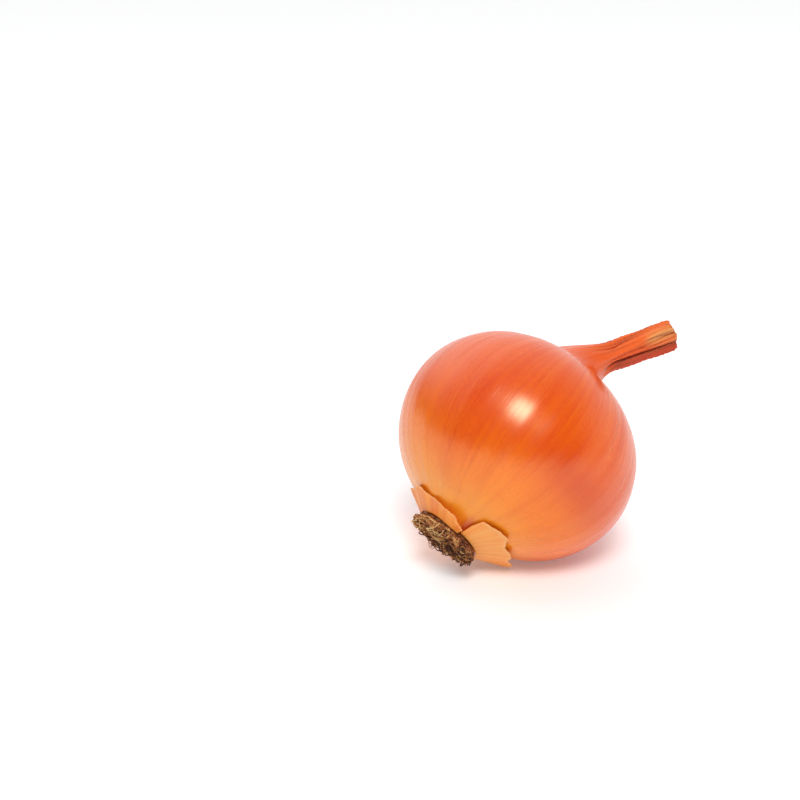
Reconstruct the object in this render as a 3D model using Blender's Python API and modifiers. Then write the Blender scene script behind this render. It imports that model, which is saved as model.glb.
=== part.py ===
"""A brown onion, dried and lying on its side.

The bulb and its withered neck are one grown body. A plate of dead roots closes the bulb's root end,
and two torn scraps of the outermost scale stand round its rim.

Every piece is shaped in the onion's own frame, whose origin is the middle of the bulb, whose +Z runs
to the neck and whose +X runs to the side that the onion lies on. An empty then lays the onion down.
"""

import math

import bmesh
import bpy
import numpy as np
from mathutils import Vector

MM = 0.001

# Bulb: across its fattest ring, and the waves of its outline round the middle
BULB_WIDTH = 75 * MM
FLATTENING = 0.0856
LOW_SHOULDER = 0.0075
LOBES = ((2, 0.006, 0.7), (3, 0.004, 2.1))

# Root end: a flat face on a short cone that leaves the body at the heel
HEEL_ANGLE = math.radians(146)
ROOT_FACE_RADIUS = 9.0 * MM
ROOT_FACE_DEPTH = 34.1 * MM
ROOT_FACE_EDGE = 0.25 * MM
HEEL_PULL = 0.9

# Neck: a flare off the shoulder, then a bent and twisted tube of dry leaves with a cupped end
SHOULDER_ANGLE = math.radians(23)
NECK_RADIUS = 4.2 * MM
NECK_START = 43 * MM
NECK_END = 64 * MM
NECK_SWELL = 0.2 * MM
NECK_FLATNESS = 0.10
FLARE_PULL = 0.8
BEND_START = 29.8 * MM
BEND_LENGTH = 12 * MM
NECK_BEND = math.radians(31.5)
BEND_TOWARDS = math.radians(-43)
NECK_ASIDE = 2.0 * MM
NECK_TWIST = math.radians(30)
FOLDS_BELOW_NECK = 9 * MM
FOLDS_RISE = 11 * MM
CUP_DEPTH = 2.4 * MM
CUP_WALL = 0.32
CUP_LIP = 0.25
RAGGED_END = 0.9 * MM
RAGGED_LENGTH = 4 * MM
RAGGED_WAVES = ((3, 0.5, 0), (5, 0.5, 0), (8, 0.4, 0))

# Ribs on the skin and folds in the neck, as waves round the axis: count, height, slant
RIBS = ((9, 0.050 * MM, 0.2), (14, 0.055 * MM, 0.5), (19, 0.045 * MM, -0.4))
FOLDS = ((4, 0.24 * MM, 0.3), (7, 0.22 * MM, -0.5), (11, 0.20 * MM, 0.4), (16, 0.12 * MM, 0.0))
STRAND_GROOVE = math.radians(-71)
GROOVE_WIDTH = math.radians(15)
GROOVE_DEPTH = 1.5 * MM
WAVE_SEED = 11
RIBS_FADE_RADIUS = 12 * MM

# How the bulb is laid down, and how far its belly is pressed flat where it rests
LEAN = math.radians(36.9)
BELLY_PRESSED = 1.3 * MM

# Mesh of the bulb
SIDES = 84
HEEL_RINGS = 5
BODY_RINGS = 22
FLARE_RINGS = 7
NECK_RINGS = 14

# Root plate and roots
CLEARANCE = 0.35 * MM
PLATE_RADIUS = 10.3 * MM
PLATE_THICKNESS = 1.2 * MM
PLATE_DOME = 0.7 * MM
PLATE_SIDES = 30
PLATE_BACK = -ROOT_FACE_DEPTH - CLEARANCE - PLATE_THICKNESS
ROOTS = 84
ROOT_THICKNESS = 0.9 * MM
ROOT_LENGTHS = (4.5 * MM, 8.0 * MM)
ROOTS_INSIDE_RIM = 1.2 * MM
ROOTS_BEYOND_RIM = 1.0 * MM
ROOT_POINTS = 6
ROOT_CURL = 0.45
ROOT_TAPER = 0.35
ROOT_SEED = 5
FLOOR_CLEARANCE = 0.6 * MM

# Torn scraps of outer scale: thickness, and each one's edge from its start to its end round the axis.
# An edge point is (azimuth in degrees, how far out the tear runs, how far it is lifted off the skin).
SCALE_THICKNESS = 0.6 * MM
SCALE_INNER_RADIUS = 10.8 * MM
LIFT_AT_PLATE = 0.6
SCALE_STEPS = 6
SCRAPS = {
    "torn_scale_front": (
        (-119, 13.4 * MM, 0.2 * MM),
        (-116, 17.4 * MM, 0.4 * MM),
        (-106, 18.8 * MM, 0.4 * MM),
        (-90, 19.6 * MM, 0.4 * MM),
        (-74, 18.0 * MM, 0.5 * MM),
        (-60, 18.6 * MM, 0.7 * MM),
        (-45, 18.0 * MM, 1.2 * MM),
        (-32, 20.4 * MM, 1.7 * MM),
        (-24, 20.8 * MM, 1.9 * MM),
        (-17, 17.0 * MM, 1.8 * MM),
    ),
    "torn_scale_back": (
        (14, 13.4 * MM, 0.3 * MM),
        (24, 15.8 * MM, 0.4 * MM),
        (38, 14.6 * MM, 0.3 * MM),
        (52, 17.0 * MM, 0.4 * MM),
        (68, 15.4 * MM, 0.3 * MM),
        (84, 17.2 * MM, 0.4 * MM),
        (100, 16.0 * MM, 0.4 * MM),
        (118, 17.0 * MM, 0.3 * MM),
        (136, 16.2 * MM, 0.2 * MM),
        (154, 15.8 * MM, 0.2 * MM),
        (174, 14.6 * MM, 0.2 * MM),
        (194, 13.8 * MM, 0.7 * MM),
        (210, 13.4 * MM, 1.5 * MM),
        (224, 13.0 * MM, 2.1 * MM),
        (236, 12.4 * MM, 1.9 * MM),
    ),
}

# Colours, as linear RGB
SKIN_COLOUR = (0.62, 0.16, 0.035, 1.0)
SCALE_COLOUR = (0.78, 0.36, 0.12, 1.0)
ROOT_COLOUR = (0.22, 0.13, 0.06, 1.0)


def clear_scene():
    for old in list(bpy.data.objects):
        bpy.data.objects.remove(old)


def finish(name, colour, roughness):
    """A Principled material of one colour."""
    made = bpy.data.materials.new(name)
    made.use_nodes = True
    shader = made.node_tree.nodes["Principled BSDF"]
    shader.inputs["Base Color"].default_value = colour
    shader.inputs["Roughness"].default_value = roughness
    return made


def ease(share):
    """0 below 0, 1 above 1, and a smooth rise between."""
    share = np.clip(share, 0.0, 1.0)
    return share * share * (3.0 - 2.0 * share)


def body_outline(angle):
    """(radius, height) of the plain body, at an angle from the neck's way: an oval with low shoulders."""
    mean_radius = BULB_WIDTH / 2 / (1 + FLATTENING)
    out = mean_radius * (1 - FLATTENING * np.cos(2 * angle) - LOW_SHOULDER * np.cos(3 * angle))
    return np.stack([out * np.sin(angle), out * np.cos(angle)], axis=-1)


def body_slope(angle):
    """The body's direction at an angle, towards the root, with length 1."""
    step = 1e-4
    way = body_outline(angle + step) - body_outline(angle - step)
    return way / np.linalg.norm(way)


def joining_curve(start, start_way, end, end_way, pull, count):
    """Points on a smooth curve that leaves start along start_way and comes to end along end_way."""
    t = np.linspace(0.0, 1.0, count + 1)[:, None]
    reach = pull * np.linalg.norm(np.subtract(end, start))
    first, last = 2 * t**3 - 3 * t**2 + 1, 3 * t**2 - 2 * t**3
    off, on = t**3 - 2 * t**2 + t, t**3 - t**2
    return first * start + last * end + off * reach * np.array(start_way) + on * reach * np.array(end_way)


def bulb_outline():
    """(radius, height) of every ring, from inside the cupped end of the neck to the root's middle."""
    tip = np.array(
        [
            [0.0, NECK_END - CUP_DEPTH],
            [NECK_RADIUS * (1 - CUP_WALL) * 0.8, NECK_END - CUP_DEPTH],
            [NECK_RADIUS * (1 - CUP_WALL), NECK_END - CUP_LIP * CUP_DEPTH],
        ]
    )
    along = np.linspace(1.0, 0.0, NECK_RINGS + 1)
    swell = NECK_RADIUS + NECK_SWELL * ease((along - 0.35) / 0.4)
    neck = np.stack([swell, NECK_START + along * (NECK_END - NECK_START)], axis=-1)
    shoulder = body_outline(SHOULDER_ANGLE)
    flare = joining_curve(neck[-1], (0, -1), shoulder, body_slope(SHOULDER_ANGLE), FLARE_PULL, FLARE_RINGS)
    body = body_outline(np.linspace(SHOULDER_ANGLE, HEEL_ANGLE, BODY_RINGS + 1))
    heel_end = np.array([ROOT_FACE_RADIUS, -ROOT_FACE_DEPTH + ROOT_FACE_EDGE])
    cone_way = heel_end - body[-1]
    cone_way = cone_way / np.linalg.norm(cone_way)
    heel = joining_curve(body[-1], body_slope(HEEL_ANGLE), heel_end, cone_way, HEEL_PULL, HEEL_RINGS)
    face = np.array([[ROOT_FACE_RADIUS * 0.5, -ROOT_FACE_DEPTH], [0.0, -ROOT_FACE_DEPTH]])
    return np.concatenate([tip, neck[:-1], flare[:-1], body[:-1], heel, face])


def waves(azimuth, height, terms, seed):
    """The sum of waves round the axis. Each starts at a seeded place and slants with height."""
    starts = np.random.default_rng(seed).uniform(0, 2 * math.pi, len(terms))
    total = np.zeros(np.broadcast(azimuth, height).shape)
    for (count, size, slant), start in zip(terms, starts):
        total = total + size * np.cos(count * azimuth + start + slant * height / (10 * MM))
    return total


def skin_radius(radius, height, azimuth):
    """The radius of the real skin: the turned outline with its lobes, ribs, neck folds and strand groove."""
    for count, share, start in LOBES:
        radius = radius * (1 + share * np.cos(count * azimuth + start))
    neck_share = ease((height - NECK_START + FOLDS_BELOW_NECK) / FOLDS_RISE)
    edge_share = np.clip(radius / RIBS_FADE_RADIUS, 0.0, 1.0)
    ribbed = waves(azimuth, height, RIBS, WAVE_SEED) * edge_share * (1 - neck_share)
    turned = azimuth + NECK_TWIST * np.clip((height - NECK_START) / (NECK_END - NECK_START), 0.0, 1.0)
    folded = waves(turned, height, FOLDS, WAVE_SEED + 1)
    from_groove = (turned - STRAND_GROOVE + math.pi) % (2 * math.pi) - math.pi
    groove = GROOVE_DEPTH * np.exp(-((from_groove / GROOVE_WIDTH) ** 2))
    flatter = NECK_FLATNESS * radius * np.cos(2 * turned)
    inside = np.clip(radius / NECK_RADIUS, 0.0, 1.0)
    return radius + ribbed + neck_share * inside * (folded - groove + flatter)


def bent(points):
    """Points of the straight onion moved to the bent neck: set a little aside, an arc, then straight on."""
    over = np.clip(points[:, 2] - BEND_START, 0.0, None)
    turn = np.clip(over / BEND_LENGTH, 0.0, 1.0) * NECK_BEND
    bend_radius = BEND_LENGTH / NECK_BEND
    past = np.clip(over - BEND_LENGTH, 0.0, None)
    side = Vector((math.cos(BEND_TOWARDS), math.sin(BEND_TOWARDS), 0.0))
    across = points[:, :2] @ np.array(side[:2])
    aside = bend_radius * (1 - np.cos(turn)) + past * np.sin(turn)
    height = bend_radius * np.sin(turn) + past * np.cos(turn)
    moved = points.copy()
    shift = across * (np.cos(turn) - 1) + aside + NECK_ASIDE * ease(over / BEND_LENGTH)
    moved[:, 0] += shift * side[0]
    moved[:, 1] += shift * side[1]
    moved[:, 2] = np.where(over > 0, BEND_START + height - across * np.sin(turn), points[:, 2])
    return moved


def resting_place():
    """(where the belly's lowest point is along the ground from the bulb's middle, its depth below it)."""
    outline = body_outline(np.radians(np.linspace(60, 150, 2000)))
    depth = outline[:, 0] * math.cos(LEAN) - outline[:, 1] * math.sin(LEAN)
    lowest = int(np.argmax(depth))
    ahead = outline[lowest, 0] * math.sin(LEAN) + outline[lowest, 1] * math.cos(LEAN)
    return float(ahead), float(depth[lowest])


def lay_down():
    """The empty that carries every piece: it leans the neck's axis to LEAN above the ground and
    puts the middle of the pressed spot at the world's origin."""
    ahead, depth = resting_place()
    carrier = bpy.data.objects.new("onion_axis", None)
    carrier.location = (-ahead, 0.0, depth - BELLY_PRESSED)
    carrier.rotation_euler = (0.0, math.pi / 2 - LEAN, 0.0)
    return carrier


def ground_in_onion_frame():
    """(a point on the ground, the ground's upward direction), both in the onion's own frame."""
    ahead, depth = resting_place()
    up = Vector((-math.cos(LEAN), 0.0, math.sin(LEAN)))
    return up * -(depth - BELLY_PRESSED), up


def height_above_ground(points):
    point, up = ground_in_onion_frame()
    return (np.asarray(points) - np.array(point)) @ np.array(up)


def placed(name, mesh, material, carrier, collection):
    """An object of this mesh on the carrier, with its round faces shaded smooth."""
    mesh.shade_smooth()
    mesh.set_sharp_from_angle(angle=math.radians(50))
    mesh.materials.clear()
    mesh.materials.append(material)
    made = bpy.data.objects.new(name, mesh)
    made.parent = carrier
    collection.objects.link(made)
    return made


def make_bulb():
    """A sphere whose rings are moved to the onion's outline, then cut flat by the ground."""
    outline = bulb_outline()
    rings = len(outline) - 1
    shape = bmesh.new()
    bmesh.ops.create_uvsphere(shape, u_segments=SIDES, v_segments=rings, radius=1.0)
    ball = np.array([vertex.co for vertex in shape.verts])
    polar = np.arccos(np.clip(ball[:, 2], -1.0, 1.0))
    ring = np.rint(polar * rings / math.pi).astype(int)
    azimuth = np.arctan2(ball[:, 1], ball[:, 0])
    radius, height = outline[ring].T
    radius = np.where(radius > 0, skin_radius(radius, height, azimuth), 0.0)
    ragged = waves(azimuth, 0.0, RAGGED_WAVES, WAVE_SEED + 2)
    near_end = ease((height - NECK_END + RAGGED_LENGTH) / RAGGED_LENGTH)
    height = height + RAGGED_END * ragged * near_end * (radius > 0)
    points = bent(np.stack([radius * np.cos(azimuth), radius * np.sin(azimuth), height], axis=-1))
    for vertex, point in zip(shape.verts, points):
        vertex.co = point
    ground, up = ground_in_onion_frame()
    everything = shape.verts[:] + shape.edges[:] + shape.faces[:]
    bmesh.ops.bisect_plane(shape, geom=everything, dist=1e-7, plane_co=ground, plane_no=up, clear_inner=True)
    rim = [edge for edge in shape.edges if edge.is_boundary]
    bmesh.ops.contextual_create(shape, geom=rim)
    bmesh.ops.recalc_face_normals(shape, faces=shape.faces[:])
    mesh = bpy.data.meshes.new("bulb")
    shape.to_mesh(mesh)
    shape.free()
    return mesh


def root_side():
    """The outline's root half as (radius, height), from the middle of the root face outwards."""
    outline = bulb_outline()
    return outline[outline[:, 1] < 0][::-1]


def on_skin(radius, azimuth, lift):
    """Points on the root side's skin at a radius and azimuth, raised off it by lift along its normal."""
    outline = root_side()
    height = np.interp(radius, outline[:, 0], outline[:, 1])
    step = 0.2 * MM
    rise = np.interp(radius + step, outline[:, 0], outline[:, 1]) - height
    length = np.hypot(step, rise)
    out = skin_radius(radius, height, azimuth) + lift * rise / length
    down = height - lift * step / length
    return np.stack([out * np.cos(azimuth), out * np.sin(azimuth), down], axis=-1)


def make_plate():
    """The turned root plate: a flat seat near the bulb's root face, a rounded rim and a low domed back."""
    seat = -ROOT_FACE_DEPTH - CLEARANCE
    outline = (
        (0.0, seat),
        (ROOT_FACE_RADIUS, seat),
        (PLATE_RADIUS, seat - 0.4 * PLATE_THICKNESS),
        (PLATE_RADIUS - 0.2 * MM, PLATE_BACK),
        (PLATE_RADIUS * 0.7, PLATE_BACK - 0.6 * PLATE_DOME),
        (PLATE_RADIUS * 0.35, PLATE_BACK - 0.9 * PLATE_DOME),
        (0.0, PLATE_BACK - PLATE_DOME),
    )
    profile = bmesh.new()
    points = [profile.verts.new((radius, 0.0, height)) for radius, height in outline]
    for first, second in zip(points, points[1:]):
        profile.edges.new((first, second))
    mesh = bpy.data.meshes.new("root_plate")
    profile.to_mesh(mesh)
    profile.free()
    turned = bpy.data.objects.new("root_plate", mesh)
    screw = turned.modifiers.new("turn", "SCREW")
    screw.steps = screw.render_steps = PLATE_SIDES
    screw.use_merge_vertices = True
    screw.merge_threshold = 0.00005
    return turned


def root_paths():
    """The centreline of every root: spread over the plate by the golden angle, flat and curling."""
    draw = np.random.default_rng(ROOT_SEED)
    golden = math.pi * (3 - math.sqrt(5))
    for number in range(ROOTS):
        share = math.sqrt((number + 0.5) / ROOTS)
        azimuth = number * golden
        outwards = Vector((math.cos(azimuth), math.sin(azimuth), 0.0))
        sideways = Vector((-math.sin(azimuth), math.cos(azimuth), 0.0))
        at = outwards * (share * (PLATE_RADIUS - ROOTS_INSIDE_RIM)) + Vector((0, 0, PLATE_BACK))
        slant = draw.uniform(-1.0, 1.0) * (1.2 - share)
        way = (outwards * (0.5 + 0.7 * share) + sideways * slant + Vector((0, 0, -0.9))).normalized()
        step = draw.uniform(*ROOT_LENGTHS) * (1.0 - 0.45 * share) / (ROOT_POINTS - 1)
        turn = draw.choice((-1.0, 1.0)) * draw.uniform(0.2, 1.0) * ROOT_CURL
        path = [at]
        for _ in range(ROOT_POINTS - 1):
            at = at + way * step
            path.append(at)
            bend = Vector((-way.y, way.x, 0.0)) * turn + Vector((0, 0, draw.uniform(0.05, 0.30)))
            way = (way + bend).normalized()
        yield path


def clear_of_ground(path):
    """The path with every low point lifted so that the root's side stays off the ground."""
    up = ground_in_onion_frame()[1]
    lifted = []
    for point in path:
        short = FLOOR_CLEARANCE + ROOT_THICKNESS / 2 - float(height_above_ground(point))
        lifted.append(point + up * max(short, 0.0))
    return lifted


def clear_of_scraps(path):
    """The path with every point after the first kept behind the plate, and further back beyond its rim,
    where the scraps are lifted."""
    cleared = path[:1]
    for point in path[1:]:
        past_rim = float(ease((point.xy.length - PLATE_RADIUS + 0.8 * MM) / (0.6 * MM)))
        limit = PLATE_BACK - 0.4 * ROOT_THICKNESS - ROOTS_BEYOND_RIM * past_rim
        cleared.append(Vector((point.x, point.y, min(point.z, limit))))
    return cleared


def make_root(number, path, collection):
    """One root as a closed mesh, from a thin bevelled curve with welded caps."""
    curve = bpy.data.curves.new("root_line", "CURVE")
    curve.dimensions = "3D"
    curve.bevel_depth = ROOT_THICKNESS / 2
    curve.bevel_resolution = 0
    curve.use_fill_caps = True
    line = curve.splines.new("POLY")
    line.points.add(len(path) - 1)
    for index, (place, point) in enumerate(zip(line.points, path)):
        place.co = (*point, 1.0)
        place.radius = 1.0 - ROOT_TAPER * index / (len(path) - 1)
    guide = bpy.data.objects.new("root_line", curve)
    bpy.context.scene.collection.objects.link(guide)
    graph = bpy.context.evaluated_depsgraph_get()
    mesh = bpy.data.meshes.new_from_object(guide.evaluated_get(graph))
    shape = bmesh.new()
    shape.from_mesh(mesh)
    bmesh.ops.remove_doubles(shape, verts=shape.verts[:], dist=1e-6)
    bmesh.ops.recalc_face_normals(shape, faces=shape.faces[:])
    shape.to_mesh(mesh)
    shape.free()
    root = bpy.data.objects.new(f"root_{number:02d}", mesh)
    root.matrix_world = guide.matrix_world
    bpy.data.objects.remove(guide)
    collection.objects.link(root)
    return root


def make_root_tuft():
    """The plate and its roots, joined into one body."""
    strands = bpy.data.collections.new("root_strands")
    bpy.context.scene.collection.children.link(strands)
    for number, path in enumerate(root_paths()):
        make_root(number, clear_of_ground(clear_of_scraps(path)), strands)
    plate = make_plate()
    bpy.context.scene.collection.objects.link(plate)
    union = plate.modifiers.new("roots", "BOOLEAN")
    union.operation = "UNION"
    union.solver = "MANIFOLD"
    union.operand_type = "COLLECTION"
    union.collection = strands
    graph = bpy.context.evaluated_depsgraph_get()
    mesh = bpy.data.meshes.new_from_object(plate.evaluated_get(graph))
    for strand in list(strands.objects):
        bpy.data.objects.remove(strand)
    bpy.data.collections.remove(strands)
    bpy.data.objects.remove(plate)
    return mesh


def make_scrap(name, edge):
    """A thin curved scrap of scale: a grid laid on the skin from under the plate to the torn edge."""
    degrees, reach, lift = np.array(edge).T
    steps_round = 2 * (len(edge) - 1)
    shape = bmesh.new()
    bmesh.ops.create_grid(shape, x_segments=steps_round, y_segments=SCALE_STEPS, size=0.5)
    flat = np.array([vertex.co for vertex in shape.verts]) + 0.5
    azimuth_degrees = degrees[0] + flat[:, 0] * (degrees[-1] - degrees[0])
    outwards = flat[:, 1]
    tear = np.interp(azimuth_degrees, degrees, reach)
    raised = np.interp(azimuth_degrees, degrees, lift)
    radius = SCALE_INNER_RADIUS + outwards * (tear - SCALE_INNER_RADIUS)
    height_off = CLEARANCE + raised * (LIFT_AT_PLATE + (1 - LIFT_AT_PLATE) * ease(outwards))
    points = on_skin(radius, np.radians(azimuth_degrees), height_off)
    ground, up = ground_in_onion_frame()
    short = np.clip(FLOOR_CLEARANCE + SCALE_THICKNESS - height_above_ground(points), 0.0, None)
    points = points + short[:, None] * np.array(up)
    for vertex, point in zip(shape.verts, points):
        vertex.co = point
    bmesh.ops.recalc_face_normals(shape, faces=shape.faces[:])
    middle = shape.faces[:][len(shape.faces) // 2]
    if middle.normal.dot(middle.calc_center_median()) < 0:
        bmesh.ops.reverse_faces(shape, faces=shape.faces[:])
    mesh = bpy.data.meshes.new(name)
    shape.to_mesh(mesh)
    shape.free()
    return mesh


def build():
    clear_scene()
    onion = bpy.data.collections.new("onion")
    bpy.context.scene.collection.children.link(onion)
    carrier = lay_down()
    onion.objects.link(carrier)
    skin = finish("skin", SKIN_COLOUR, 0.35)
    scale = finish("outer_scale", SCALE_COLOUR, 0.6)
    dry_root = finish("dry_root", ROOT_COLOUR, 0.9)
    bulb = placed("bulb", make_bulb(), skin, carrier, onion)
    pressed_spot = max(bulb.data.polygons, key=lambda face: face.area)
    pressed_spot.use_smooth = False
    placed("root_tuft", make_root_tuft(), dry_root, carrier, onion)
    for name, edge in SCRAPS.items():
        scrap = placed(name, make_scrap(name, edge), scale, carrier, onion)
        thickness = scrap.modifiers.new("thickness", "SOLIDIFY")
        thickness.thickness = SCALE_THICKNESS
        thickness.offset = 1.0
    bpy.context.view_layer.update()


build()
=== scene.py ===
"""A brown onion lying on its side: its skin and withered neck, root plate, roots and torn outer scale,
each as a fine surface over the solid that carries it, on a pale floor in soft light."""

import math

import bpy
import numpy as np
from mathutils import Matrix, Vector


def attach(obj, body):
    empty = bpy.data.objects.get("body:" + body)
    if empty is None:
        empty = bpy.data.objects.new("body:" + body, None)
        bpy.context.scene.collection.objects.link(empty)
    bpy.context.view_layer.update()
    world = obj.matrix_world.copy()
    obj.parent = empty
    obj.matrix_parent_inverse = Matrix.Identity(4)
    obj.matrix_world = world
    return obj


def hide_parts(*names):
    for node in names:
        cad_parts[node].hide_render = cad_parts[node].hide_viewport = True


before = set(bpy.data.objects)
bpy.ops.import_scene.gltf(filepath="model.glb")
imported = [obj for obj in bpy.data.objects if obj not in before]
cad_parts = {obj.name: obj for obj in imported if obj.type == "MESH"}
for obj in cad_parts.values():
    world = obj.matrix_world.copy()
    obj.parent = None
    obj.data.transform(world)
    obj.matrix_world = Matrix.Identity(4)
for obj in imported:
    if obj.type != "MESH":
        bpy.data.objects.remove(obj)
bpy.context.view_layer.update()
MM = 0.001

# The bulb and its neck grew as one body: fleshy scales inside a dry, papery skin that draws up into
# the withered neck. The skin is the outermost leaf bases themselves, so nothing fixes it on. The neck
# was dried and cut a few centimetres up, and the side that the onion lies on is pressed a little flat.

# Bulb: across its fattest ring, and the waves of its outline round the middle
BULB_WIDTH = 75 * MM
FLATTENING = 0.0856
LOW_SHOULDER = 0.0075
LOBES = ((2, 0.006, 0.7), (3, 0.004, 2.1))

# Root end: a flat face on a short cone that leaves the body at the heel
HEEL_ANGLE = math.radians(146)
ROOT_FACE_RADIUS = 9.0 * MM
ROOT_FACE_DEPTH = 34.1 * MM
ROOT_FACE_EDGE = 0.25 * MM
HEEL_PULL = 0.9

# Neck: a flare off the shoulder, then a bent and twisted tube of dry leaves with a cupped end
SHOULDER_ANGLE = math.radians(23)
NECK_RADIUS = 4.2 * MM
NECK_START = 43 * MM
NECK_END = 64 * MM
NECK_SWELL = 0.2 * MM
NECK_SWELLS_FROM = 0.35
NECK_SWELLS_OVER = 0.4
NECK_FLATNESS = 0.10
FLARE_PULL = 0.8
BEND_START = 29.8 * MM
BEND_LENGTH = 12 * MM
NECK_BEND = math.radians(31.5)
BEND_TOWARDS = math.radians(-43)
NECK_ASIDE = 2.0 * MM
NECK_TWIST = math.radians(30)
CUP_DEPTH = 2.4 * MM
CUP_STEPS = (0, 0.4, 0.6, 0.85, 1)
CUP_RADII = (0, 0.55, 0.66, 0.80, 1)
CUP_DEPTHS = (1, 1, 0.35, 0.06, 0)
RAGGED_END = 0.38 * MM
RAGGED_LENGTH = 4 * MM
END_ROUNDING = 0.09
END_ROUNDED_OVER = 0.07

# Waves round the axis: count, height, slant. The first two sets are the solid's own, and the heights
# of the ragged sets are shares of RAGGED_END.
RIBS = ((9, 0.050 * MM, 0.2), (14, 0.055 * MM, 0.5), (19, 0.045 * MM, -0.4))
FOLDS = ((4, 0.24 * MM, 0.3), (7, 0.22 * MM, -0.5), (11, 0.20 * MM, 0.4), (16, 0.12 * MM, 0.0))
FINE_RIBS = ((28, 0.024 * MM, 0.2), (37, 0.020 * MM, -0.15), (53, 0.012 * MM, 0.1))
RAGGED_WAVES = ((3, 0.5, 0), (5, 0.5, 0), (8, 0.4, 0))
FINE_RAGGED_WAVES = ((13, 0.12, 0), (22, 0.09, 0), (37, 0.06, 0))
WAVE_SEED = 11
RIBS_FADE_RADIUS = 12 * MM
FOLDS_BELOW_NECK = 9 * MM
FOLDS_RISE = 11 * MM

# The groove beside the neck's lower strand, which drifts as it runs up, the leaf edges (place, lean,
# step), the furrows (count, share of the depth, wander), one crosswise crease and small crinkles
# (length, height, windings)
STRAND_GROOVE = math.radians(-71)
GROOVE_WIDTH = math.radians(15)
GROOVE_DEPTH = 1.5 * MM
GROOVE_DRIFT = math.radians(24)
GROOVE_SHADE = 0.9
LEAF_EDGES = (
    (math.radians(150), 0.5, 0.26 * MM),
    (math.radians(-158), -0.3, 0.22 * MM),
    (math.radians(-102), 0.4, 0.26 * MM),
    (math.radians(-15), -0.4, 0.20 * MM),
    (math.radians(72), 0.3, 0.22 * MM),
)
EDGE_SHARE = 0.012
FURROWS = ((7, 0.9, 0.30), (12, 0.7, 0.22), (19, 0.55, 0.15), (31, 0.35, 0.10))
FURROW_DEPTH = 0.34 * MM
CREASE_AT = math.radians(-150)
CREASE_WIDTH = math.radians(38)
CREASE_HEIGHT = 43.6 * MM
CREASE_LENGTH = 0.5 * MM
CREASE_DEPTH = 0.3 * MM
CRINKLES = ((1.9 * MM, 0.055 * MM, 3), (1.25 * MM, 0.040 * MM, 5))
CRINKLE_WANDER = (2.6, 1.7)

# How the onion is laid down, and how far its belly is pressed flat
LEAN = math.radians(36.9)
BELLY_PRESSED = 1.3 * MM

# Mesh of the skin
SIDES = 400
CUP_RINGS = 14
NECK_RINGS = 92
FLARE_RINGS = 26
BODY_RINGS = 84
HEEL_RINGS = 14


def ease(share):
    """0 below 0, 1 above 1, and a smooth rise between."""
    share = np.clip(share, 0.0, 1.0)
    return share * share * (3.0 - 2.0 * share)


def wrapped(angle):
    """The same angle between minus half a turn and half a turn."""
    return (angle + math.pi) % (2 * math.pi) - math.pi


def hump(distance, width):
    """1 at no distance, falling to almost nothing at twice the width."""
    return np.exp(-((distance / width) ** 2))


def body_outline(angle):
    """(radius, height) of the plain body, at an angle from the neck's way: an oval with low shoulders."""
    mean_radius = BULB_WIDTH / 2 / (1 + FLATTENING)
    out = mean_radius * (1 - FLATTENING * np.cos(2 * angle) - LOW_SHOULDER * np.cos(3 * angle))
    return np.stack([out * np.sin(angle), out * np.cos(angle)], axis=-1)


def body_slope(angle):
    """The body's direction at an angle, towards the root, with length 1."""
    step = 1e-4
    way = body_outline(angle + step) - body_outline(angle - step)
    return way / np.linalg.norm(way)


def joining_curve(start, start_way, end, end_way, pull, count):
    """Points on a smooth cubic that leaves start along start_way and comes to end along end_way."""
    t = np.linspace(0.0, 1.0, count + 1)[:, None]
    reach = pull * np.linalg.norm(np.subtract(end, start))
    first, last = 2 * t**3 - 3 * t**2 + 1, 3 * t**2 - 2 * t**3
    off, on = t**3 - 2 * t**2 + t, t**3 - t**2
    return first * start + last * end + off * reach * np.array(start_way) + on * reach * np.array(end_way)


def onion_outline():
    """(radius, height) of every ring. The rows run from the floor of the cupped neck end over its lip,
    down the neck, along a curve that joins the oval body, and round the heel to the root's flat face."""
    step = np.linspace(0.0, 1.0, CUP_RINGS + 1)[:-1]
    cup_radius = NECK_RADIUS * np.interp(step, CUP_STEPS, CUP_RADII)
    cup_depth = CUP_DEPTH * np.interp(step, CUP_STEPS, CUP_DEPTHS)
    cup = np.stack([cup_radius, NECK_END - cup_depth], axis=-1)
    along = np.linspace(1.0, 0.0, NECK_RINGS + 1)
    swell = NECK_RADIUS + NECK_SWELL * ease((along - NECK_SWELLS_FROM) / NECK_SWELLS_OVER)
    swell = swell * (1 - END_ROUNDING * ease((along - 1 + END_ROUNDED_OVER) / END_ROUNDED_OVER))
    neck = np.stack([swell, NECK_START + along * (NECK_END - NECK_START)], axis=-1)
    shoulder = body_outline(SHOULDER_ANGLE)
    flare = joining_curve(neck[-1], (0, -1), shoulder, body_slope(SHOULDER_ANGLE), FLARE_PULL, FLARE_RINGS)
    body = body_outline(np.linspace(SHOULDER_ANGLE, HEEL_ANGLE, BODY_RINGS + 1))
    heel_end = np.array([ROOT_FACE_RADIUS, -ROOT_FACE_DEPTH + ROOT_FACE_EDGE])
    cone_way = heel_end - body[-1]
    cone_way = cone_way / np.linalg.norm(cone_way)
    heel = joining_curve(body[-1], body_slope(HEEL_ANGLE), heel_end, cone_way, HEEL_PULL, HEEL_RINGS)
    face = np.array([[ROOT_FACE_RADIUS * 0.5, -ROOT_FACE_DEPTH], [0.0, -ROOT_FACE_DEPTH]])
    return np.concatenate([cup, neck[:-1], flare[:-1], body[:-1], heel, face])


def way_along(outline):
    """How far each ring is from the root's middle along the skin, with the neck's lip at 1."""
    steps = np.linalg.norm(np.diff(outline, axis=0), axis=1)
    from_root = np.append(np.cumsum(steps[::-1])[::-1], 0.0)
    return from_root / from_root[CUP_RINGS]


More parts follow.
